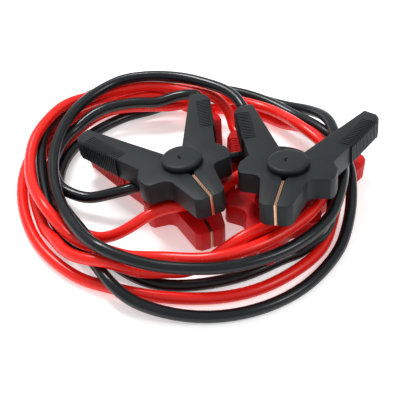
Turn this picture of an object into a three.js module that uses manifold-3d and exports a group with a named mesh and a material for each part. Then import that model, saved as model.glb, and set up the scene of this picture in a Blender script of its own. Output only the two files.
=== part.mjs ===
// Car jumper cable set: a black and a red cable, each with an insulated spring
// clamp on both ends, lying in one loose heap.
// Millimetres, +Z up, the heap stands on Z = 0.

import * as THREE from "three";
import Module from "manifold-3d";

const wasm = await Module();
wasm.setup();
const { Manifold, CrossSection } = wasm;
const group = new THREE.Group();

// Dimensions.

// Cables
const CABLE_D = 11; // outside diameter of the jacket
const CABLE_SIDES = 8;
const EXIT_STRAIGHT = 8; // straight length in front of a handle's end
const STACK_GAP = 0.5; // air between two strands that lie on each other
const LAYER = CABLE_D + STACK_GAP; // rise from one layer of strands to the next
const HEAP_CENTRE = [-12, 2]; // middle of the loose coil

// Clamp halves, seen from above: X along the jaws, Y across, Z through
const HALF_T = 21; // thickness of handle, guard and jaw
const JAW_LENGTH = 62; // pivot to jaw tip
const JAW_TIP_W = 10; // half width of the flat front wall
const JAW_SIDE_W = 14.5; // half width just behind the slanted tip
const JAW_ROOT_W = 20; // half width where the jaw meets the guard
const GUARD_OUT = 44; // finger guard, reach from the middle line
const GUARD_FRONT = 18;
const GUARD_BACK = -4;
const GUARD_FILLET = 9; // concave radius between guard and jaw
const HANDLE_END = [-107, 56]; // inner corner of the handle's end
const HANDLE_END_OUT = [-101, 67.5]; // outer corner of the handle's end
const HANDLE_INNER_ROOT = [-24, 10.5];
const HANDLE_OUTER_ROOT = [-12, 38.5];
const HANDLE_NECK = [-50, 54]; // where the ribbed grip starts to swell
const GRIP_START = [-55, 56.5];
const GRIP_END = [-85, 67.5];
const LIP_RISE = 2.5; // the smooth lip behind the ribs
const RIB_COUNT = 10;
const RIB_DEPTH = 1.1;

// Pivot
const CAP_R = 18.7;
const CAP_H = 5.7;
const CAP_EDGE = 1;
const PIN_R = 3;
const PIN_PLAY = 0.3;
const KNUCKLE_R = 14;
const KNUCKLE_H = 6.6; // the lever's knuckle, between the two of the body
const KNUCKLE_PLAY = 0.35;
const MID_GAP = 0.8; // each half keeps this far from the middle line
const FACE_GAP = 0.3;

// Contacts
const TEETH_START = 24;
const TEETH_END = 61;
const TEETH_PITCH = 4.6;
const TEETH_DEPTH = 0.9;
const CONTACT_BACK = 1.1; // flat back of a toothed bar, from the middle line
const CONTACT_H = 20;
const TEETH_GAP = 0.22;
const THROAT = [14.5, 4.5]; // dark gap between the jaws next to the pivot

// Where each clamp lies: pivot, heading of the jaws in degrees, rise of the
// jaws and rise of the left side per millimetre.
const CLAMPS = {
  black_right: {
    at: [79, -36.5, 66], heading: -104.9, rise: 0.13, roll: 0.12, cordSide: -1, color: "black",
  },
  black_left: {
    at: [-15, -19.5, 55.5], heading: -65, rise: 0.16, roll: 0.06, cordSide: 1, color: "black",
  },
  red_right: {
    at: [68.8, -35, 19.03], heading: -106.9, rise: 0.08, roll: 0, cordSide: -1, color: "red",
  },
  red_left: {
    at: [-11.2, -14, 17.3], heading: -69, rise: 0.03, roll: 0.03, cordSide: 1, color: "red",
  },
};

// Cable routes, from clamp to clamp. A turn's point is [angle in degrees about
// the heap's centre, radius, height in layers of cable]; a crossing's point is
// [x, y, z].
const BLACK_TURNS = [
  [61, 108, 3.5], [70, 120, 3.5], [81, 129.5, 3.3], [90, 138.5, 3.2], [97, 145, 3.1],
  [105, 151, 3.05], [113, 157, 2.9], [120, 160, 2.7], [135, 156.5, 2.4], [150, 146.5, 2.2],
  [165, 136, 2.1], [180, 128, 2], [195, 123, 2.1], [210, 122.5, 2.4], [225, 126, 2.8],
  [232, 127, 3.1], [240, 127, 3.05], [255, 125, 2.8], [270, 126, 2.9], [285, 131, 3.05],
  [300, 134, 3], [315, 139, 3], [330, 144, 3.15], [338, 144.5, 3.25], [346, 144.5, 3.4],
  [354, 146, 3.5], [365, 148.5, 3.15], [375, 150.5, 2.95], [382, 156, 2.85], [390, 163, 2.6],
  [398, 168, 1.7], [405, 171, 0.9], [412, 171.5, 0.2], [420, 170, 0], [435, 172, 0],
  [450, 174.5, 0.1], [465, 178, 0.5], [473, 178.5, 0.95], [480, 178, 1.05], [495, 178, 1.05],
  [510, 171, 1], [525, 152, 1], [540, 138, 1], [555, 133, 1], [562, 130.5, 0.75],
  [570, 126, 0.2], [578, 124, 0.15], [585, 124.5, 0.5], [592, 129, 0.95], [600, 138, 1.15],
  [607, 144, 0.9], [615, 148.5, 0.5], [630, 151, 0], [645, 155, 0], [660, 157, 0],
  [675, 158, 0], [690, 157.5, 0.1], [697, 157, 0.35], [705, 156.5, 0.85], [712, 156, 1.6],
  [720, 155.5, 2.25], [727, 156, 2.2], [735, 157, 2], [742, 158.5, 1.86], [750, 155, 1.7],
  [758, 154, 1.4], [765, 154.5, 1], [780, 159, 0.95], [795, 159, 0.9], [803, 160, 0.6],
  [810, 156, 0.15], [817, 147, 0], [825, 138, 0], [833, 137, 0], [840, 138, 0],
  [855, 137, 0], [870, 137, 0], [885, 132.5, 0], [900, 125.5, 0], [908, 121, 0.3],
  [915, 118, 0.8], [922, 116, 1.05], [930, 113.5, 1.1], [937, 112.5, 0.8], [945, 112, 0.4],
  [960, 114, 0], [975, 118, 0], [990, 116.5, 0], [1005, 115, 0], [1020, 117, 0],
  [1035, 120, 0], [1040, 124.5, 0], [1044, 129.5, 0.1], [1047, 133.5, 0.72], [1051, 139, 1.05],
  [1056, 142, 1.35], [1062, 141, 2], [1069, 136, 2.6], [1076, 128, 2.6],
];
const BLACK_CROSSING = [
  [109, 9, 36], [97, 24, 37], [79, 32, 35], [59, 31, 34], [40, 25, 34],
  [22, 20, 35], [5, 17, 34.7], [-14, 14, 34.5], [-32, 4, 34], [-48, -9, 33.6],
  [-63, -18, 32.6], [-79, -19, 28], [-94, -18, 22], [-107, -16, 18], [-119, -12, 18.5],
  [-130, -5, 18.5], [-137, 5, 17.5],
];
const BLACK_CURL = [
  [172, 131.5, 1], [165, 138.5, 1], [150, 145, 1],
  [142, 141, 1.3], [135, 139, 1.85], [127, 135, 2], [120, 130, 2.05], [113, 124, 2.1],
];
const BLACK_END = [
  [-45, 116.5, 28.5], [-32, 122, 30.5], [-20, 124, 33], [-9.5, 121.5, 36], [-3, 115.5, 39],
];
const RED_START = [
  [34.5, 97, 12], [33, 105, 16.5], [28.5, 113, 22.5], [20.5, 120.5, 28.5], [7, 128, 31.5],
];
const RED_TURNS = [
  [91, 133, 2.15], [98, 141, 2.1], [105, 149, 2], [113, 156, 1.85], [120, 161, 1.6],
  [127, 166, 1.6], [135, 170, 1.9], [142, 170, 2.05], [150, 167, 2.05], [157, 164.5, 2.05],
  [165, 161, 1.8], [180, 151, 1.6], [195, 139, 2.15], [202, 133.5, 1.8], [210, 128, 1.35],
  [217, 125, 1.3], [225, 121.5, 1.6], [232, 114, 1.5], [240, 107, 1.1], [247, 106, 1.5],
  [255, 106.5, 1.95], [262, 107.5, 2.25], [270, 110.5, 2.5], [277, 114, 2.75], [285, 117, 3],
  [300, 119, 3.06], [315, 121, 3.06], [322, 123, 3.06], [330, 127, 3.15], [338, 130, 3.4],
  [346, 132, 3.75], [354, 134.5, 3.65], [365, 136, 3.15], [375, 137, 2.85], [382, 134.5, 2.75],
  [390, 131, 2.7], [398, 133, 2.3], [405, 137.5, 1.75], [412, 140, 1.5], [420, 142, 1.2],
  [435, 139, 1.3], [443, 144.5, 1.25], [450, 150, 1.15], [457, 157, 1.05], [465, 164, 0.65],
  [473, 169, 0.25], [480, 171, 0], [495, 176, 0], [510, 174, 0], [525, 169, 0],
  [540, 161.5, 0], [555, 155.5, 0], [570, 151.5, 0], [585, 145, 0], [592, 141, 0],
  [600, 136, 0], [615, 132, 0], [630, 131, 0], [645, 134, 0], [660, 137, 0],
  [675, 139, 0], [688, 143, 0], [697, 142.5, 0.15], [705, 142, 1], [710, 143, 1.85],
  [714.5, 142.7, 2.4], [720, 143, 2.36], [728, 143.5, 2.15], [735, 144, 2], [742, 144, 1.9],
  [750, 142, 1.85],
  [758, 143, 1.2], [765, 141, 0.5], [772, 143, 0.2], [780, 145, 0], [795, 139, 0],
  [803, 134, 0], [810, 133, 0.1], [814, 136, 0.5], [818, 139.5, 0.95], [822, 143, 1.05],
  [826, 146.5, 1.05], [833, 152.5, 0.85], [840, 158, 0.4], [855, 163, 0], [870, 162, 0],
  [885, 157.5, 0], [900, 150, 0], [915, 142, 0], [922, 141.3, 0.3], [930, 139, 0.95],
  [937, 140, 1.2], [945, 139, 1.6], [952, 134, 1.95], [956, 130, 2], [960, 126, 1.8],
  [965, 122.5, 1.5], [970, 119, 1.2], [975, 115.5, 1.1], [983, 110, 0.9], [990, 106, 0.6],
  [997, 104, 1.1], [1004, 103, 1.8], [1011, 103, 2.55], [1020, 103.5, 3.2], [1032, 106, 3.15],
  [1044, 110, 2.9], [1056, 113, 2.8], [1068, 112, 2.8],
];
const RED_CROSSING = [
  [95, -5, 36.5], [86, 6, 36], [73, 11.5, 35.5], [59, 10.5, 35.5], [46, 4, 35.5],
  [32, -8, 35.7], [18, -24, 35.7], [6, -36, 35.7], [-8, -43, 35.7], [-24, -46, 36],
  [-42, -52, 35.5], [-58, -60, 28], [-74, -63, 18], [-90, -60, 9], [-104, -53, 5.5],
];
const RED_CURL = [
  [205, 113, 0], [195, 127.5, 0], [187, 133.5, 0], [180, 137.5, 0], [172, 140.5, 0],
  [165, 145, 0], [150, 148.5, 0], [142, 149.5, 0.1], [135, 149, 0.5], [127, 144.5, 0.95],
  [120, 137, 1.15], [113, 131, 1.15], [105, 127, 1.05],
];
const RED_END = [
  [-32, 124, 17.5], [-18, 128.5, 17.5], [-5, 130.5, 17.5], [3.5, 128.5, 17.5], [9.7, 122, 17],
];

// Materials.

const finish = {
  black: () => new THREE.MeshStandardMaterial({ color: 0x2b2e30, roughness: 0.55, metalness: 0 }),
  red: () => new THREE.MeshStandardMaterial({ color: 0xc4141c, roughness: 0.5, metalness: 0 }),
  blackCable: () => new THREE.MeshStandardMaterial({ color: 0x1f2224, roughness: 0.32, metalness: 0 }),
  redCable: () => new THREE.MeshStandardMaterial({ color: 0xd9221f, roughness: 0.32, metalness: 0 }),
  copper: () => new THREE.MeshStandardMaterial({ color: 0xb87c58, roughness: 0.35, metalness: 1 }),
};

// Helpers.

function toGeometry(solid) {
  const mesh = solid.getMesh();
  const geometry = new THREE.BufferGeometry();
  const positions = new Float32Array((mesh.vertProperties.length / mesh.numProp) * 3);
  for (let i = 0; i < positions.length / 3; i += 1) {
    positions[3 * i] = mesh.vertProperties[mesh.numProp * i];
    positions[3 * i + 1] = mesh.vertProperties[mesh.numProp * i + 1];
    positions[3 * i + 2] = mesh.vertProperties[mesh.numProp * i + 2];
  }
  geometry.setAttribute("position", new THREE.BufferAttribute(positions, 3));
  geometry.setIndex(Array.from(mesh.triVerts));
  geometry.computeVertexNormals();
  return geometry;
}

function slab(outline, height, z) {
  return new CrossSection([outline], "NonZero").extrude(height).translate([0, 0, z]);
}

function disc(radius, height, z, sides = 40) {
  return Manifold.cylinder(height, radius, radius, sides).translate([0, 0, z]);
}

function lerp(a, b, t) {
  return [a[0] + (b[0] - a[0]) * t, a[1] + (b[1] - a[1]) * t];
}

// Clamp parts.

// Grooves across the swollen grip, as notches in the outline.
function ribbedGrip() {
  const points = [];
  for (let i = 0; i < RIB_COUNT; i += 1) {
    for (const [t, depth] of [[0.15, 0], [0.45, RIB_DEPTH], [0.75, RIB_DEPTH]]) {
      const p = lerp(GRIP_START, GRIP_END, (i + t) / RIB_COUNT);
      points.push([p[0], p[1] - depth]);
    }
  }
  return points;
}

// Outline of one half on the +Y side, counter-clockwise from the jaw's tip.
function halfOutline() {
  const fillet = [];
  const cx = GUARD_FRONT + GUARD_FILLET;
  const cy = JAW_ROOT_W + GUARD_FILLET;
  for (let i = 0; i <= 4; i += 1) {
    const a = -Math.PI / 2 - (Math.PI / 2) * (i / 4);
    fillet.push([cx + GUARD_FILLET * Math.cos(a), cy + GUARD_FILLET * Math.sin(a)]);
  }
  return [
    [JAW_LENGTH, CONTACT_BACK + FACE_GAP],
    [JAW_LENGTH, JAW_TIP_W],
    [JAW_LENGTH - 4, JAW_SIDE_W],
    ...fillet,
    [GUARD_FRONT - 1, GUARD_OUT - 4],
    [GUARD_FRONT - 5, GUARD_OUT - 1],
    [GUARD_FRONT - 11, GUARD_OUT],
    [GUARD_BACK + 3, GUARD_OUT],
    [GUARD_BACK, GUARD_OUT - 2],
    HANDLE_OUTER_ROOT,
    HANDLE_NECK,
    GRIP_START,
    ...ribbedGrip(),
    GRIP_END,
    [GRIP_END[0] - 3, GRIP_END[1] + LIP_RISE],
    [GRIP_END[0] - 11, GRIP_END[1] + LIP_RISE],
    HANDLE_END_OUT,
    HANDLE_END,
    HANDLE_INNER_ROOT,
    [0, MID_GAP],
    [THROAT[0] - 3, MID_GAP],
    THROAT,
    [TEETH_START - 1.5, CONTACT_BACK + FACE_GAP],
  ];
}

function half(isLever) {
  const base = -HALF_T / 2;
  const midFrom = -KNUCKLE_H / 2;
  const reach = KNUCKLE_R + KNUCKLE_PLAY;
  const outerFrom = KNUCKLE_H / 2 + KNUCKLE_PLAY;
  const outerH = HALF_T / 2 - outerFrom;
  const hole = disc(PIN_R + PIN_PLAY, HALF_T + 2, base - 1, 24);
  let solid = slab(halfOutline(), HALF_T, base);
  if (isLever) {
    solid = solid
      .subtract(disc(reach, outerH + KNUCKLE_PLAY + 1, outerFrom - KNUCKLE_PLAY))
      .subtract(disc(reach, outerH + KNUCKLE_PLAY + 1, base - 1))
      .add(disc(KNUCKLE_R, KNUCKLE_H, midFrom));
  } else {
    solid = solid
      .subtract(disc(reach, KNUCKLE_H + 2 * KNUCKLE_PLAY, -outerFrom))
      .add(disc(KNUCKLE_R, outerH, outerFrom))
      .add(disc(KNUCKLE_R, outerH, base));
  }
  return solid.subtract(hole);
}

// A bar with teeth that mesh with those of the other jaw.
function contact(side) {
  const points = [];
  const count = Math.round((TEETH_END - TEETH_START) / (TEETH_PITCH / 2));
  for (let i = 0; i <= count; i += 1) {
    const wave = i % 2 === 0 ? TEETH_DEPTH / 2 : -TEETH_DEPTH / 2;
    points.push([TEETH_START + ((TEETH_END - TEETH_START) * i) / count, side * wave + TEETH_GAP]);
  }
  points.push([TEETH_END, CONTACT_BACK]);
  points.push([TEETH_START, CONTACT_BACK]);
  return slab(points, CONTACT_H, -CONTACT_H / 2);
}

function pivotProfile() {
  const top = HALF_T / 2 + FACE_GAP + CAP_H;
  const under = HALF_T / 2 + FACE_GAP;
  return [
    [0, -top],
    [CAP_R - CAP_EDGE, -top],
    [CAP_R, -top + CAP_EDGE],
    [CAP_R, -under],
    [PIN_R, -under],
    [PIN_R, under],
    [CAP_R, under],
    [CAP_R, top - CAP_EDGE],
    [CAP_R - CAP_EDGE, top],
    [0, top],
  ].map(([r, z]) => new THREE.Vector2(r, z));
}

function placement(clamp) {
  const a = THREE.MathUtils.degToRad(clamp.heading);
  const flat = Math.sqrt(1 - clamp.rise * clamp.rise);
  const u = new THREE.Vector3(Math.cos(a) * flat, Math.sin(a) * flat, clamp.rise);
  const v = new THREE.Vector3(-Math.sin(a), Math.cos(a), clamp.roll);
  v.addScaledVector(u, -v.dot(u)).normalize();
  const w = new THREE.Vector3().crossVectors(u, v);
  const matrix = new THREE.Matrix4().makeBasis(u, v, w);
  matrix.setPosition(...clamp.at);
  return matrix;
}

function addMesh(parent, name, geometry, material) {
  const mesh = new THREE.Mesh(geometry, material);
  mesh.name = name;
  parent.add(mesh);
}

function addClamp(name, clamp) {
  const frame = new THREE.Group();
  frame.applyMatrix4(placement(clamp));
  const cordHalf = half(false);
  const lever = half(true);
  const flip = (solid) => solid.mirror([0, 1, 0]);
  const cordOnLeft = clamp.cordSide > 0;
  const body = cordOnLeft ? cordHalf : flip(cordHalf);
  const other = cordOnLeft ? flip(lever) : lever;
  const bodyTeeth = cordOnLeft ? contact(1) : flip(contact(-1));
  const otherTeeth = cordOnLeft ? flip(contact(-1)) : contact(1);
  addMesh(frame, `${name}_body`, toGeometry(body), finish[clamp.color]());
  addMesh(frame, `${name}_lever`, toGeometry(other), finish[clamp.color]());
  addMesh(frame, `${name}_body_teeth`, toGeometry(bodyTeeth), finish.copper());
  addMesh(frame, `${name}_lever_teeth`, toGeometry(otherTeeth), finish.copper());
  const pivot = new THREE.LatheGeometry(pivotProfile(), 40);
  pivot.rotateX(Math.PI / 2);
  addMesh(frame, `${name}_pivot`, pivot, finish[clamp.color]());
  group.add(frame);
}

// Cables.

// Middle of the handle's end face and a point on its normal.
function cordExit(clamp, distance) {
  const side = clamp.cordSide;
  const mid = lerp(HANDLE_END, HANDLE_END_OUT, 0.5);
  const along = new THREE.Vector2(HANDLE_END_OUT[0] - HANDLE_END[0], HANDLE_END_OUT[1] - HANDLE_END[1]);
  along.normalize();
  const x = mid[0] - along.y * distance;
  const y = mid[1] + along.x * distance;
  return new THREE.Vector3(x, side * y, 0).applyMatrix4(placement(clamp));
}

function onTurn([angle, radius, layer]) {
  const a = THREE.MathUtils.degToRad(angle);
  return new THREE.Vector3(
    HEAP_CENTRE[0] + radius * Math.cos(a),
    HEAP_CENTRE[1] + radius * Math.sin(a),
    CABLE_D / 2 + layer * LAYER,
  );
}

function onCrossing([x, y, z]) {
  return new THREE.Vector3(x, y, z);
}

// One step of the tube for each point of the route.
class Route extends THREE.CatmullRomCurve3 {
  getUtoTmapping(u) {
    return u;
  }
}

function addCable(name, points, material) {
  const section = new THREE.Shape();
  for (let i = 0; i < CABLE_SIDES; i += 1) {
    const a = (2 * Math.PI * i) / CABLE_SIDES;
    const x = (CABLE_D / 2) * Math.cos(a);
    const y = (CABLE_D / 2) * Math.sin(a);
    if (i === 0) section.moveTo(x, y);
    else section.lineTo(x, y);
  }
  const route = new Route(points, false, "centripetal");
  const tube = new THREE.ExtrudeGeometry(section, {
    steps: points.length - 1,
    bevelEnabled: false,
    extrudePath: route,
  });
  addMesh(group, name, tube, material);
}

export const blackRoute = [
  cordExit(CLAMPS.black_right, FACE_GAP),
  cordExit(CLAMPS.black_right, EXIT_STRAIGHT),
  ...BLACK_TURNS.map(onTurn),
  ...BLACK_CROSSING.map(onCrossing),
  ...BLACK_CURL.map(onTurn),
  ...BLACK_END.map(onCrossing),
  cordExit(CLAMPS.black_left, EXIT_STRAIGHT),
  cordExit(CLAMPS.black_left, FACE_GAP),
];
export const redRoute = [
  cordExit(CLAMPS.red_right, FACE_GAP),
  cordExit(CLAMPS.red_right, EXIT_STRAIGHT),
  ...RED_START.map(onCrossing),
  ...RED_TURNS.map(onTurn),
  ...RED_CROSSING.map(onCrossing),
  ...RED_CURL.map(onTurn),
  ...RED_END.map(onCrossing),
  cordExit(CLAMPS.red_left, EXIT_STRAIGHT),
  cordExit(CLAMPS.red_left, FACE_GAP),
];

// Assembly.

for (const [name, clamp] of Object.entries(CLAMPS)) {
  addClamp(name, clamp);
}
// The origin is under the middle of the clamps.
const clampBox = new THREE.Box3().setFromObject(group, true);
addCable("black_cable", blackRoute, finish.blackCable());
addCable("red_cable", redRoute, finish.redCable());
group.position.set(
  -(clampBox.min.x + clampBox.max.x) / 2,
  -(clampBox.min.y + clampBox.max.y) / 2,
  0,
);

export default group;
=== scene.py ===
"""Car jumper cable set: two cables and four insulated clamps in a loose heap. Metres, +Z up."""

import math

import bmesh
import bpy
from mathutils import Matrix, Vector


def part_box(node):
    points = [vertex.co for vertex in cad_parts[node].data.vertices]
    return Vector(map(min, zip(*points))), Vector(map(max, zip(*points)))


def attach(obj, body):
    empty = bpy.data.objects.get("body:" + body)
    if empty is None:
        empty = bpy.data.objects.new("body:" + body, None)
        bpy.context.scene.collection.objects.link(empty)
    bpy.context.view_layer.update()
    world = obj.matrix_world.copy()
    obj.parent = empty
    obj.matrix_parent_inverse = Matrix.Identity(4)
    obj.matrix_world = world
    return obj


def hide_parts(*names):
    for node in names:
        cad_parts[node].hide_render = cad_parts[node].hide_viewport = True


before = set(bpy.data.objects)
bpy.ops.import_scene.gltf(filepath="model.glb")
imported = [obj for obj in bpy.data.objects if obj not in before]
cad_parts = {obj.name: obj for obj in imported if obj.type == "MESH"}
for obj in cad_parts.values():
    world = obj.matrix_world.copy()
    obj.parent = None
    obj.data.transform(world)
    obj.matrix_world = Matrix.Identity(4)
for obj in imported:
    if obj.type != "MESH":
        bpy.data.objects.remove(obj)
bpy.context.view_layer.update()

# Sizes

CABLE_D = 0.011
STACK_GAP = 0.0005
LAYER = CABLE_D + STACK_GAP
HEAP_CENTRE = (-0.012, 0.002)
EXIT_STRAIGHT = 0.008
FACE_GAP = 0.0003
LINE_STEPS = 4
EASING = 6

HALF_T = 0.021
CAP_R = 0.0187
CAP_H = 0.0057
PIN_R = 0.003
KNUCKLE_R = 0.014
CAP_FLAT_IN = 0.003
CAP_EDGE = 0.0012
CAP_EDGE_STEP = 0.0003
CAP_EDGE_DOWN = 0.002
EDGE_ROUND = 0.0011
GRIP_ROUND = 0.0042
GRIP_BEHIND = -0.045
GRIP_OUTSIDE = 0.0535
SHARP_ANGLE = 32
RIB_COUNT = 17
RIB_PITCH = 0.0029
RIB_WIDTH = 0.0015
RIB_PROUD = 0.0009
RIB_REACH = 0.0135
RIB_LEAD = 0.016
RIB_SINK = 0.0006
RIB_ARC = 4

CRESCENT_OUTER_R = 0.0032
CRESCENT_INNER_R = 0.0017
CRESCENT_OFFSET = 0.0003
CRESCENT_FROM = 200
CRESCENT_SWEEP = 140
CRESCENT_STEPS = 8
CRESCENT_SUNK = 0.0004
CRESCENT_PROUD = 0.0003

TEETH = 18
TEETH_START = 0.024
TEETH_END = 0.0615
TOOTH = 0.0009
TEETH_GAP = 0.00022
CONTACT_BACK = 0.0011
CONTACT_H = 0.0206

# One half of a clamp from above, in front of the pivot and round to the handle
JAW = ((0.062, 0.0014), (0.062, 0.010), (0.058, 0.0145))
FILLET_CENTRE = (0.027, 0.029)
FILLET_R = 0.009
FILLET_STEPS = 5
GUARD = (
    (0.017, 0.040), (0.013, 0.043), (0.007, 0.044), (-0.001, 0.044), (-0.004, 0.042),
    (-0.012, 0.0385),
)
GRIP = ((-0.050, 0.054), (-0.055, 0.0565), (-0.085, 0.0675), (-0.088, 0.070), (-0.096, 0.070))
HANDLE_END_OUT = (-0.101, 0.0675)
HANDLE_END = (-0.107, 0.056)
HANDLE_INNER_ROOT = (-0.024, 0.0105)
BITE_R = 0.01435
BITE_FROM = 155
BITE_TO = 18
BITE_STEPS = 10
THROAT = ((0.0145, 0.0045), (0.0235, 0.0014))

# Pivot, heading of the jaws in degrees, rise of the jaws, rise of the left side,
# side of the half that holds the cord, colour
CLAMPS = {
    "black_right": ((0.079, -0.0365, 0.066), -104.9, 0.13, 0.12, -1, "black"),
    "black_left": ((-0.015, -0.0195, 0.0555), -65, 0.16, 0.06, 1, "black"),
    "red_right": ((0.0688, -0.035, 0.01903), -106.9, 0.08, 0, -1, "red"),
    "red_left": ((-0.0112, -0.014, 0.0173), -69, 0.03, 0.03, 1, "red"),
}

# Cable routes: a turn's point is (angle, radius, layer), a crossing's is (x, y, z)
BLACK_TURNS = (
    (61, 0.108, 3.5), (70, 0.12, 3.5), (81, 0.1295, 3.3), (90, 0.1385, 3.2), (97, 0.145, 3.1),
    (105, 0.151, 3.05), (113, 0.157, 2.9), (120, 0.16, 2.7), (135, 0.1565, 2.4),
    (150, 0.1465, 2.2), (165, 0.136, 2.1), (180, 0.128, 2), (195, 0.123, 2.1),
    (210, 0.1225, 2.4), (225, 0.126, 2.8), (232, 0.127, 3.1), (240, 0.127, 3.05),
    (255, 0.125, 2.8), (270, 0.126, 2.9), (285, 0.131, 3.05), (300, 0.134, 3), (315, 0.139, 3),
    (330, 0.144, 3.15), (338, 0.1445, 3.25), (346, 0.1445, 3.4), (354, 0.146, 3.5),
    (365, 0.1485, 3.15), (375, 0.1505, 2.95), (382, 0.156, 2.85), (390, 0.163, 2.6),
    (398, 0.168, 1.7), (405, 0.171, 0.9), (412, 0.1715, 0.2), (420, 0.17, 0), (435, 0.172, 0),
    (450, 0.1745, 0.1), (465, 0.178, 0.5), (473, 0.1785, 0.95), (480, 0.178, 1.05),
    (495, 0.178, 1.05), (510, 0.171, 1), (525, 0.152, 1), (540, 0.138, 1), (555, 0.133, 1),
    (562, 0.1305, 0.75), (570, 0.126, 0.2), (578, 0.124, 0.15), (585, 0.1245, 0.5),
    (592, 0.129, 0.95), (600, 0.138, 1.15), (607, 0.144, 0.9), (615, 0.1485, 0.5),
    (630, 0.151, 0), (645, 0.155, 0), (660, 0.157, 0), (675, 0.158, 0), (690, 0.1575, 0.1),
    (697, 0.157, 0.35), (705, 0.1565, 0.85), (712, 0.156, 1.6), (720, 0.1555, 2.25),
    (727, 0.156, 2.2), (735, 0.157, 2), (742, 0.1585, 1.86), (750, 0.155, 1.7),
    (758, 0.154, 1.4), (765, 0.1545, 1), (780, 0.159, 0.95), (795, 0.159, 0.9),
    (803, 0.16, 0.6), (810, 0.156, 0.15), (817, 0.147, 0), (825, 0.138, 0), (833, 0.137, 0),
    (840, 0.138, 0), (855, 0.137, 0), (870, 0.137, 0), (885, 0.1325, 0), (900, 0.1255, 0),
    (908, 0.121, 0.3), (915, 0.118, 0.8), (922, 0.116, 1.05), (930, 0.1135, 1.1),
    (937, 0.1125, 0.8), (945, 0.112, 0.4), (960, 0.114, 0), (975, 0.118, 0), (990, 0.1165, 0),
    (1005, 0.115, 0), (1020, 0.117, 0), (1035, 0.12, 0), (1040, 0.1245, 0), (1044, 0.1295, 0.1),
    (1047, 0.1335, 0.72), (1051, 0.139, 1.05), (1056, 0.142, 1.35), (1062, 0.141, 2),
    (1069, 0.136, 2.6), (1076, 0.128, 2.6),
)
BLACK_CROSSING = (
    (0.109, 0.009, 0.036), (0.097, 0.024, 0.037), (0.079, 0.032, 0.035), (0.059, 0.031, 0.034),
    (0.04, 0.025, 0.034), (0.022, 0.02, 0.035), (0.005, 0.017, 0.0347), (-0.014, 0.014, 0.0345),
    (-0.032, 0.004, 0.034), (-0.048, -0.009, 0.0336), (-0.063, -0.018, 0.0326),
    (-0.079, -0.019, 0.028), (-0.094, -0.018, 0.022), (-0.107, -0.016, 0.018),
    (-0.119, -0.012, 0.0185), (-0.13, -0.005, 0.0185), (-0.137, 0.005, 0.0175),
)
BLACK_CURL = (
    (172, 0.1315, 1), (165, 0.1385, 1), (150, 0.145, 1), (142, 0.141, 1.3), (135, 0.139, 1.85),
    (127, 0.135, 2), (120, 0.13, 2.05), (113, 0.124, 2.1),
)
BLACK_END = (
    (-0.045, 0.1165, 0.0285), (-0.032, 0.122, 0.0305), (-0.02, 0.124, 0.033),
    (-0.0095, 0.1215, 0.036), (-0.003, 0.1155, 0.039),
)
RED_START = (
    (0.0345, 0.097, 0.012), (0.033, 0.105, 0.0165), (0.0285, 0.113, 0.0225),
    (0.0205, 0.1205, 0.0285), (0.007, 0.128, 0.0315),
)
RED_TURNS = (
    (91, 0.133, 2.15), (98, 0.141, 2.1), (105, 0.149, 2), (113, 0.156, 1.85), (120, 0.161, 1.6),
    (127, 0.166, 1.6), (135, 0.17, 1.9), (142, 0.17, 2.05), (150, 0.167, 2.05),
    (157, 0.1645, 2.05), (165, 0.161, 1.8), (180, 0.151, 1.6), (195, 0.139, 2.15),
    (202, 0.1335, 1.8), (210, 0.128, 1.35), (217, 0.125, 1.3), (225, 0.1215, 1.6),
    (232, 0.114, 1.5), (240, 0.107, 1.1), (247, 0.106, 1.5), (255, 0.1065, 1.95),
    (262, 0.1075, 2.25), (270, 0.1105, 2.5), (277, 0.114, 2.75), (285, 0.117, 3),
    (300, 0.119, 3.06), (315, 0.121, 3.06), (322, 0.123, 3.06), (330, 0.127, 3.15),
    (338, 0.13, 3.4), (346, 0.132, 3.75), (354, 0.1345, 3.65), (365, 0.136, 3.15),
    (375, 0.137, 2.85), (382, 0.1345, 2.75), (390, 0.131, 2.7), (398, 0.133, 2.3),
    (405, 0.1375, 1.75), (412, 0.14, 1.5), (420, 0.142, 1.2), (435, 0.139, 1.3),
    (443, 0.1445, 1.25), (450, 0.15, 1.15), (457, 0.157, 1.05), (465, 0.164, 0.65),
    (473, 0.169, 0.25), (480, 0.171, 0), (495, 0.176, 0), (510, 0.174, 0), (525, 0.169, 0),
    (540, 0.1615, 0), (555, 0.1555, 0), (570, 0.1515, 0), (585, 0.145, 0), (592, 0.141, 0),
    (600, 0.136, 0), (615, 0.132, 0), (630, 0.131, 0), (645, 0.134, 0), (660, 0.137, 0),
    (675, 0.139, 0), (688, 0.143, 0), (697, 0.1425, 0.15), (705, 0.142, 1), (710, 0.143, 1.85),
    (714.5, 0.1427, 2.4), (720, 0.143, 2.36), (728, 0.1435, 2.15), (735, 0.144, 2),
    (742, 0.144, 1.9), (750, 0.142, 1.85), (758, 0.143, 1.2), (765, 0.141, 0.5),
    (772, 0.143, 0.2), (780, 0.145, 0), (795, 0.139, 0), (803, 0.134, 0), (810, 0.133, 0.1),
    (814, 0.136, 0.5), (818, 0.1395, 0.95), (822, 0.143, 1.05), (826, 0.1465, 1.05),
    (833, 0.1525, 0.85), (840, 0.158, 0.4), (855, 0.163, 0), (870, 0.162, 0), (885, 0.1575, 0),
    (900, 0.15, 0), (915, 0.142, 0), (922, 0.1413, 0.3), (930, 0.139, 0.95), (937, 0.14, 1.2),
    (945, 0.139, 1.6), (952, 0.134, 1.95), (956, 0.13, 2), (960, 0.126, 1.8),
    (965, 0.1225, 1.5), (970, 0.119, 1.2), (975, 0.1155, 1.1), (983, 0.11, 0.9),
    (990, 0.106, 0.6), (997, 0.104, 1.1), (1004, 0.103, 1.8), (1011, 0.103, 2.55),
    (1020, 0.1035, 3.2), (1032, 0.106, 3.15), (1044, 0.11, 2.9), (1056, 0.113, 2.8),
    (1068, 0.112, 2.8),
)
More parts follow.
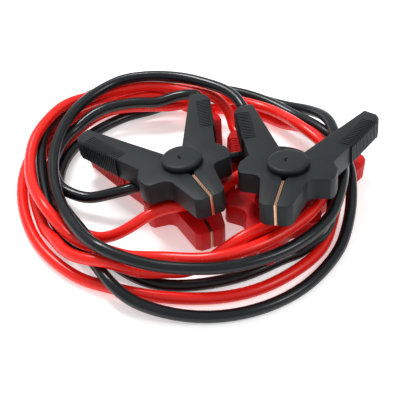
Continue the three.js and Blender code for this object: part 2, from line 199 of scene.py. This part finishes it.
RED_CROSSING = (
    (0.095, -0.005, 0.0365), (0.086, 0.006, 0.036), (0.073, 0.0115, 0.0355),
    (0.059, 0.0105, 0.0355), (0.046, 0.004, 0.0355), (0.032, -0.008, 0.0357),
    (0.018, -0.024, 0.0357), (0.006, -0.036, 0.0357), (-0.008, -0.043, 0.0357),
    (-0.024, -0.046, 0.036), (-0.042, -0.052, 0.0355), (-0.058, -0.06, 0.028),
    (-0.074, -0.063, 0.018), (-0.09, -0.06, 0.009), (-0.104, -0.053, 0.0055),
)
RED_CURL = (
    (205, 0.113, 0), (195, 0.1275, 0), (187, 0.1335, 0), (180, 0.1375, 0), (172, 0.1405, 0),
    (165, 0.145, 0), (150, 0.1485, 0), (142, 0.1495, 0.1), (135, 0.149, 0.5),
    (127, 0.1445, 0.95), (120, 0.137, 1.15), (113, 0.131, 1.15), (105, 0.127, 1.05),
)
RED_END = (
    (-0.032, 0.124, 0.0175), (-0.018, 0.1285, 0.0175), (-0.005, 0.1305, 0.0175),
    (0.0035, 0.1285, 0.0175), (0.0097, 0.122, 0.017),
)

# Camera, at the photograph's angle

CAMERA_AT = Vector((0, -0.6301, 0.6085))
LENS = 81
SENSOR = 36
CLIP_START = 0.01


def heap_shift():
    """From the axes of the routes to those of the frame."""
    low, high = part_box("red_left_pivot")
    middle = (low + high) / 2
    at = Vector(CLAMPS["red_left"][0])
    return Vector((middle.x - at.x, middle.y - at.y, 0))


SHIFT = heap_shift()


def add_camera():
    data = bpy.data.cameras.new("camera")
    data.lens = LENS
    data.sensor_width = SENSOR
    data.clip_start = CLIP_START
    cam = bpy.data.objects.new("camera", data)
    cam.location = CAMERA_AT + SHIFT
    aim = SHIFT - cam.location
    cam.rotation_euler = aim.to_track_quat("-Z", "Y").to_euler()
    bpy.context.scene.collection.objects.link(cam)
    bpy.context.scene.camera = cam


def placement(clamp):
    """The matrix that sets a clamp down, with its jaws along its own +X."""
    at, heading, rise, roll = clamp[:4]
    a = math.radians(heading)
    flat = math.sqrt(1 - rise * rise)
    u = Vector((math.cos(a) * flat, math.sin(a) * flat, rise))
    v = Vector((-math.sin(a), math.cos(a), roll))
    v = (v - u * v.dot(u)).normalized()
    w = u.cross(v)
    m = Matrix((u, v, w)).transposed().to_4x4()
    m.translation = Vector(at) + SHIFT
    return m


# Materials


def socket(tree, name, kind, into, value=None):
    side = "INPUT" if into else "OUTPUT"
    made = tree.interface.new_socket(name=name, in_out=side, socket_type=kind)
    if value is not None:
        made.default_value = value


def grain_group():
    """Fine moulded grain with faint mottling: a colour factor, a roughness and a normal."""
    g = bpy.data.node_groups.new("moulded_grain", "ShaderNodeTree")
    socket(g, "Colour", "NodeSocketColor", True, (0.5, 0.5, 0.5, 1))
    socket(g, "Mottle", "NodeSocketFloat", True, 0.1)
    socket(g, "Mottle scale", "NodeSocketFloat", True, 40)
    socket(g, "Grain scale", "NodeSocketFloat", True, 1500)
    socket(g, "Grain height", "NodeSocketFloat", True, 0.0001)
    socket(g, "Roughness", "NodeSocketFloat", True, 0.5)
    socket(g, "Roughness spread", "NodeSocketFloat", True, 0.08)
    socket(g, "Colour", "NodeSocketColor", False)
    socket(g, "Roughness", "NodeSocketFloat", False)
    socket(g, "Normal", "NodeSocketVector", False)
    n = g.nodes
    inp = n.new("NodeGroupInput")
    out = n.new("NodeGroupOutput")
    place = n.new("ShaderNodeTexCoord")
    wide = n.new("ShaderNodeTexNoise")
    fine = n.new("ShaderNodeTexNoise")
    wide.inputs["Detail"].default_value = 4
    fine.inputs["Detail"].default_value = 2
    g.links.new(place.outputs["Object"], wide.inputs["Vector"])
    g.links.new(place.outputs["Object"], fine.inputs["Vector"])
    g.links.new(inp.outputs["Mottle scale"], wide.inputs["Scale"])
    g.links.new(inp.outputs["Grain scale"], fine.inputs["Scale"])
    centred = n.new("ShaderNodeMath")
    centred.operation = "SUBTRACT"
    centred.inputs[1].default_value = 0.5
    g.links.new(wide.outputs["Fac"], centred.inputs[0])
    gain = n.new("ShaderNodeMath")
    gain.operation = "MULTIPLY_ADD"
    gain.inputs[2].default_value = 1
    g.links.new(centred.outputs[0], gain.inputs[0])
    g.links.new(inp.outputs["Mottle"], gain.inputs[1])
    tint = n.new("ShaderNodeVectorMath")
    tint.operation = "SCALE"
    g.links.new(inp.outputs["Colour"], tint.inputs[0])
    g.links.new(gain.outputs[0], tint.inputs["Scale"])
    g.links.new(tint.outputs[0], out.inputs["Colour"])
    rough = n.new("ShaderNodeMath")
    rough.operation = "MULTIPLY_ADD"
    g.links.new(centred.outputs[0], rough.inputs[0])
    g.links.new(inp.outputs["Roughness spread"], rough.inputs[1])
    g.links.new(inp.outputs["Roughness"], rough.inputs[2])
    g.links.new(rough.outputs[0], out.inputs["Roughness"])
    bump = n.new("ShaderNodeBump")
    bump.inputs["Strength"].default_value = 0.35
    g.links.new(inp.outputs["Grain height"], bump.inputs["Distance"])
    g.links.new(fine.outputs["Fac"], bump.inputs["Height"])
    g.links.new(bump.outputs["Normal"], out.inputs["Normal"])
    return g


GRAIN = grain_group()


def finish_material(name, colour, roughness, mottle, spread, grain, height, metallic=0, gloss=0.5):
    m = bpy.data.materials.new(name)
    m.use_nodes = True
    tree = m.node_tree
    shader = tree.nodes["Principled BSDF"]
    shader.inputs["Metallic"].default_value = metallic
    shader.inputs["Specular IOR Level"].default_value = gloss
    group = tree.nodes.new("ShaderNodeGroup")
    group.node_tree = GRAIN
    group.inputs["Colour"].default_value = (*colour, 1)
    group.inputs["Roughness"].default_value = roughness
    group.inputs["Mottle"].default_value = mottle
    group.inputs["Roughness spread"].default_value = spread
    group.inputs["Grain scale"].default_value = grain
    group.inputs["Grain height"].default_value = height
    tree.links.new(group.outputs["Colour"], shader.inputs["Base Color"])
    tree.links.new(group.outputs["Roughness"], shader.inputs["Roughness"])
    tree.links.new(group.outputs["Normal"], shader.inputs["Normal"])
    return m


BLACK_SHELL = finish_material(
    "black_shell", (0.013, 0.016, 0.018), roughness=0.45, mottle=0.4, spread=0.15,
    grain=1600, height=0.0003, gloss=0.22,
)
RED_SHELL = finish_material(
    "red_shell", (0.56, 0.004, 0.006), roughness=0.42, mottle=0.15, spread=0.1,
    grain=1600, height=0.0003, gloss=0.25,
)
BLACK_JACKET = finish_material(
    "black_jacket", (0.006, 0.008, 0.010), roughness=0.24, mottle=0.3, spread=0.1,
    grain=700, height=0.0001, gloss=0.35,
)
RED_JACKET = finish_material(
    "red_jacket", (0.86, 0.012, 0.006), roughness=0.27, mottle=0.1, spread=0.08,
    grain=700, height=0.0001, gloss=0.4,
)
COPPER = finish_material(
    "contact_copper", (0.72, 0.42, 0.28), roughness=0.3, mottle=0.4, spread=0.2,
    grain=900, height=0.0002, metallic=1,
)
# Painted shade: near-black and dark-red copies of the shells, for the shaded slot drawn as a
# crescent on each pivot cap
BLACK_SLOT_SHADE = finish_material(
    "black_slot_painted_shade", (0.002, 0.002, 0.002), roughness=0.8, mottle=0.2, spread=0.1,
    grain=900, height=0.0001, gloss=0.05,
)
RED_SLOT_SHADE = finish_material(
    "red_slot_painted_shade", (0.12, 0.001, 0.001), roughness=0.8, mottle=0.2, spread=0.1,
    grain=900, height=0.0001, gloss=0.05,
)
SHELLS = {"black": BLACK_SHELL, "red": RED_SHELL}
SLOT_SHADES = {"black": BLACK_SLOT_SHADE, "red": RED_SLOT_SHADE}


# Clamps


def half_outline():
    """Counter-clockwise from the jaw's tip, for the half on the +Y side."""
    points = list(JAW)
    cx, cy = FILLET_CENTRE
    for i in range(FILLET_STEPS + 1):
        a = -math.pi / 2 - math.pi / 2 * i / FILLET_STEPS
        points.append((cx + FILLET_R * math.cos(a), cy + FILLET_R * math.sin(a)))
    points += list(GUARD) + list(GRIP) + [HANDLE_END_OUT, HANDLE_END, HANDLE_INNER_ROOT]
    for i in range(BITE_STEPS + 1):
        a = math.radians(BITE_FROM + (BITE_TO - BITE_FROM) * i / BITE_STEPS)
        points.append((BITE_R * math.cos(a), BITE_R * math.sin(a)))
    points += list(THROAT)
    return points


def grip_edge(v):
    """True for a point of the outline along the outer side of the handle."""
    return v.x < GRIP_BEHIND and v.y > GRIP_OUTSIDE


def add_slab(bm, points, height, low):
    """A flat outline drawn up to a height."""
    verts = [bm.verts.new((x, y, low)) for x, y in points]
    face = bm.faces.new(verts)
    face.normal_update()
    if face.normal.z > 0:
        face.normal_flip()
    grown = bmesh.ops.extrude_face_region(bm, geom=[face])
    top = [g for g in grown["geom"] if isinstance(g, bmesh.types.BMVert)]
    bmesh.ops.translate(bm, verts=top, vec=(0, 0, height))


def bevel(bm, edges, offset, segments):
    bmesh.ops.bevel(
        bm, geom=edges, offset=offset, segments=segments, profile=0.5, affect="EDGES",
        clamp_overlap=True, material=-1,
    )


def sharp_edges(bm, limit):
    bm.normal_update()
    return [e for e in bm.edges if e.is_manifold and e.calc_face_angle(0) > math.radians(limit)]


def add_rib(bm, along, at, outward):
    """A ridge that wraps over the outer side of the grip."""
    t = HALF_T / 2 + RIB_PROUD
    r = GRIP_ROUND
    section = [(-RIB_REACH, -t + RIB_SINK), (-r, -t)]
    for i in range(1, RIB_ARC):
        a = -math.pi / 2 + math.pi / 2 * i / RIB_ARC
        section.append((-r + (r + RIB_PROUD) * math.cos(a), -t + r + r * math.sin(a)))
    section += [(RIB_PROUD, -t + r), (RIB_PROUD, t - r)]
    for i in range(1, RIB_ARC):
        a = math.pi / 2 * i / RIB_ARC
        section.append((-r + (r + RIB_PROUD) * math.cos(a), t - r + r * math.sin(a)))
    section += [(-r, t), (-RIB_REACH, t - RIB_SINK)]
    verts = []
    for q, z in section:
        p = at + outward * q
        verts.append(bm.verts.new((p.x, p.y, z)))
    face = bm.faces.new(verts)
    grown = bmesh.ops.extrude_face_region(bm, geom=[face])
    moved = [g for g in grown["geom"] if isinstance(g, bmesh.types.BMVert)]
    bmesh.ops.translate(bm, verts=moved, vec=along * RIB_WIDTH)


def half_mesh(has_knuckle):
    """One moulded half, with a ribbed grip and, where asked, the knuckle round the pin."""
    bm = bmesh.new()
    add_slab(bm, half_outline(), HALF_T, -HALF_T / 2)
    bmesh.ops.recalc_face_normals(bm, faces=bm.faces)
    rim = [
        e for e in bm.edges
        if abs(e.verts[0].co.z - e.verts[1].co.z) < 1e-6 and all(grip_edge(v.co) for v in e.verts)
    ]
    bevel(bm, rim, GRIP_ROUND, 5)
    bevel(bm, sharp_edges(bm, SHARP_ANGLE), EDGE_ROUND, 3)
    for f in bm.faces:
        f.smooth = True
    start = Vector((GRIP[1][0], GRIP[1][1], 0))
    along = (Vector((GRIP[2][0], GRIP[2][1], 0)) - start).normalized()
    outward = Vector((along.y, -along.x, 0))
    if outward.y < 0:
        outward = -outward
    first = start - along * RIB_LEAD
    for i in range(RIB_COUNT):
        add_rib(bm, along, first + along * RIB_PITCH * i, outward)
    if has_knuckle:
        bmesh.ops.create_cone(
            bm, cap_ends=True, segments=48, radius1=KNUCKLE_R, radius2=KNUCKLE_R, depth=HALF_T,
        )
    bmesh.ops.recalc_face_normals(bm, faces=bm.faces)
    return bm


def cap_mesh():
    """Both round caps and the pin between them, turned from one profile."""
    bm = bmesh.new()
    top = HALF_T / 2 + FACE_GAP + CAP_H
    under = HALF_T / 2 + FACE_GAP
    profile = [
        (0, top), (CAP_R - CAP_FLAT_IN, top), (CAP_R - CAP_EDGE, top - CAP_EDGE_STEP),
        (CAP_R - CAP_EDGE_STEP, top - CAP_EDGE), (CAP_R, top - CAP_EDGE_DOWN), (CAP_R, under),
        (PIN_R, under),
    ]
    profile += [(r, -z) for r, z in reversed(profile)]
    verts = [bm.verts.new((r, 0, z)) for r, z in profile]
    edges = [bm.edges.new(pair) for pair in zip(verts, verts[1:])]
    bmesh.ops.spin(
        bm, geom=verts + edges, cent=(0, 0, 0), axis=(0, 0, 1), angle=math.tau, steps=64,
        use_merge=True,
    )
    bmesh.ops.remove_doubles(bm, verts=bm.verts, dist=1e-6)
    bmesh.ops.recalc_face_normals(bm, faces=bm.faces)
    for f in bm.faces:
        f.smooth = True
    for side in (1, -1):
        add_crescent(bm, side * top)
    return bm


def add_crescent(bm, z):
    """A thin raised crescent in the middle of a cap's face, painted dark as the shade inside the
    cap's slot.
    """
    points = []
    for i in range(CRESCENT_STEPS + 1):
        a = math.radians(CRESCENT_FROM + CRESCENT_SWEEP * i / CRESCENT_STEPS)
        points.append((CRESCENT_OUTER_R * math.cos(a), CRESCENT_OUTER_R * math.sin(a)))
    for i in range(CRESCENT_STEPS + 1):
        a = math.radians(CRESCENT_FROM + CRESCENT_SWEEP - CRESCENT_SWEEP * i / CRESCENT_STEPS)
        x = CRESCENT_INNER_R * math.cos(a)
        y = CRESCENT_INNER_R * math.sin(a) - CRESCENT_OFFSET
        points.append((x, y))
    low = z - CRESCENT_SUNK if z > 0 else z - CRESCENT_PROUD
    before = set(bm.faces)
    add_slab(bm, points, CRESCENT_SUNK + CRESCENT_PROUD, low)
    # The crescent's faces take the caps' second material, the painted slot shade
    for f in set(bm.faces) - before:
        f.material_index = 1


def contact_mesh(side):
    """A thin copper bar whose teeth mesh with the other jaw's."""
    bm = bmesh.new()
    points = []
    for i in range(TEETH + 1):
        wave = TOOTH / 2 if i % 2 == 0 else -TOOTH / 2
        x = TEETH_START + (TEETH_END - TEETH_START) * i / TEETH
        points.append((x, side * wave + TEETH_GAP))
    points += [(TEETH_END, CONTACT_BACK), (TEETH_START, CONTACT_BACK)]
    add_slab(bm, points, CONTACT_H, -CONTACT_H / 2)
    bmesh.ops.recalc_face_normals(bm, faces=bm.faces)
    return bm


def finish_piece(bm, name, matrix, material, node, body):
    bm.transform(matrix)
    mesh = bpy.data.meshes.new(name)
    bm.to_mesh(mesh)
    bm.free()
    mesh.materials.append(material)
    piece = bpy.data.objects.new(name, mesh)
    bpy.context.scene.collection.objects.link(piece)
    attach(piece, body)
    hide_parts(node)
    return piece


def mirror(bm):
    """Over to the -Y side, with the faces still pointing outwards."""
    bmesh.ops.scale(bm, vec=(1, -1, 1), verts=bm.verts)
    bmesh.ops.reverse_faces(bm, faces=bm.faces)


def add_clamp(name, clamp):
    matrix = placement(clamp)
    side, colour = clamp[4], clamp[5]
    material = SHELLS[colour]
    cord_half = half_mesh(True)
    lever_half = half_mesh(False)
    if side < 0:
        mirror(cord_half)
    else:
        mirror(lever_half)
    lever = name + "_lever"
    finish_piece(cord_half, name + "_cord_half", matrix, material, name + "_body", "set")
    finish_piece(lever_half, name + "_lever_half", matrix, material, lever, lever)
    pivot = name + "_pivot"
    caps = finish_piece(cap_mesh(), name + "_pivot_caps", matrix, material, pivot, "set")
    # Second material of the caps: the painted shade of the crescent slot
    caps.data.materials.append(SLOT_SHADES[colour])
    for half, holds_cord, body in (("body", True, "set"), ("lever", False, lever)):
        on_left = (side > 0) == holds_cord
        teeth = contact_mesh(1 if on_left else -1)
        if not on_left:
            mirror(teeth)
        node = name + "_" + half + "_teeth"
        contact = name + "_" + half + "_contact"
        finish_piece(teeth, contact, matrix, COPPER, node, body)


# Cables


def cord_exit(clamp, distance):
    """A point straight out from the end of the handle that holds the cord."""
    side = clamp[4]
    end = Vector(HANDLE_END)
    out = Vector(HANDLE_END_OUT)
    mid = (end + out) / 2
    along = (out - end).normalized()
    x = mid.x - along.y * distance
    y = mid.y + along.x * distance
    return placement(clamp) @ Vector((x, side * y, 0))


def on_turn(point):
    angle, radius, layer = point
    a = math.radians(angle)
    x = HEAP_CENTRE[0] + radius * math.cos(a)
    y = HEAP_CENTRE[1] + radius * math.sin(a)
    return Vector((x, y, CABLE_D / 2 + layer * LAYER)) + SHIFT


def on_crossing(point):
    return Vector(point) + SHIFT


def smooth_line(points):
    """A Catmull-Rom line through the points, with its corners then eased."""
    line = []
    ends = [points[0] * 2 - points[1]] + points + [points[-1] * 2 - points[-2]]
    for a, b, c, d in zip(ends, ends[1:], ends[2:], ends[3:]):
        for i in range(LINE_STEPS):
            t = i / LINE_STEPS
            line.append(
                0.5 * (2 * b + (c - a) * t + (2 * a - 5 * b + 4 * c - d) * t * t
                + (3 * b - a - 3 * c + d) * t ** 3)
            )
    line.append(points[-1])
    for _ in range(EASING):
        line = [line[0], line[1]] + [
            (p + 2 * q + r) / 4 for p, q, r in zip(line[1:], line[2:], line[3:])
        ] + [line[-1]]
    return line


def add_cable(name, points, material, node):
    line = smooth_line(points)
    curve = bpy.data.curves.new(name, "CURVE")
    curve.dimensions = "3D"
    curve.bevel_depth = CABLE_D / 2
    curve.bevel_resolution = 6
    curve.use_fill_caps = True
    spline = curve.splines.new("POLY")
    spline.points.add(len(line) - 1)
    for p, q in zip(spline.points, line):
        p.co = (*q, 1)
    spline.use_smooth = True
    curve.materials.append(material)
    piece = bpy.data.objects.new(name, curve)
    bpy.context.scene.collection.objects.link(piece)
    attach(piece, "set")
    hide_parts(node)


BLACK_LINE = (
    [cord_exit(CLAMPS["black_right"], d) for d in (FACE_GAP, EXIT_STRAIGHT)]
    + [on_turn(p) for p in BLACK_TURNS]
    + [on_crossing(p) for p in BLACK_CROSSING]
    + [on_turn(p) for p in BLACK_CURL]
    + [on_crossing(p) for p in BLACK_END]
    + [cord_exit(CLAMPS["black_left"], d) for d in (EXIT_STRAIGHT, FACE_GAP)]
)
RED_LINE = (
    [cord_exit(CLAMPS["red_right"], d) for d in (FACE_GAP, EXIT_STRAIGHT)]
    + [on_crossing(p) for p in RED_START]
    + [on_turn(p) for p in RED_TURNS]
    + [on_crossing(p) for p in RED_CROSSING]
    + [on_turn(p) for p in RED_CURL]
    + [on_crossing(p) for p in RED_END]
    + [cord_exit(CLAMPS["red_left"], d) for d in (EXIT_STRAIGHT, FACE_GAP)]
)


# Floor and lights

FLOOR_SIZE = 6
FLOOR_DROP = 0.0003
FLOOR_GLOW = 0.4
WORLD_STRENGTH = 0.6
LIGHT_AIM = (0, 0, 0.03)


def add_floor():
    bm = bmesh.new()
    bmesh.ops.create_grid(bm, x_segments=1, y_segments=1, size=FLOOR_SIZE)
    mesh = bpy.data.meshes.new("floor")
    bm.to_mesh(mesh)
    bm.free()
    m = bpy.data.materials.new("white_floor")
    m.use_nodes = True
    shader = m.node_tree.nodes["Principled BSDF"]
    shader.inputs["Base Color"].default_value = (0.97, 0.97, 0.97, 1)
    shader.inputs["Roughness"].default_value = 0.9
    shader.inputs["Specular IOR Level"].default_value = 0
    shader.inputs["Emission Color"].default_value = (1, 1, 1, 1)
    shader.inputs["Emission Strength"].default_value = FLOOR_GLOW
    mesh.materials.append(m)
    floor = bpy.data.objects.new("floor", mesh)
    floor.location.z = -FLOOR_DROP
    bpy.context.scene.collection.objects.link(floor)


def add_light(name, at, size, power):
    data = bpy.data.lights.new(name, "AREA")
    data.shape = "RECTANGLE"
    data.size = size[0]
    data.size_y = size[1]
    data.energy = power
    lamp = bpy.data.objects.new(name, data)
    lamp.location = at
    lamp.rotation_euler = (Vector(LIGHT_AIM) - lamp.location).to_track_quat("-Z", "Y").to_euler()
    bpy.context.scene.collection.objects.link(lamp)


def add_studio():
    world = bpy.data.worlds.new("studio")
    world.use_nodes = True
    sky = world.node_tree.nodes["Background"]
    sky.inputs["Color"].default_value = (1, 1, 1, 1)
    sky.inputs["Strength"].default_value = WORLD_STRENGTH
    bpy.context.scene.world = world
    bpy.context.scene.view_settings.view_transform = "Standard"
    add_light("key", at=(-0.5, 0.6, 1.2), size=(0.45, 0.3), power=14)
    add_light("fill", at=(0.9, -0.4, 1.1), size=(0.4, 0.4), power=5)


add_camera()
add_cable("black_cord", BLACK_LINE, BLACK_JACKET, "black_cable")
add_cable("red_cord", RED_LINE, RED_JACKET, "red_cable")
for clamp_name, clamp in CLAMPS.items():
    add_clamp(clamp_name, clamp)
add_floor()
add_studio()
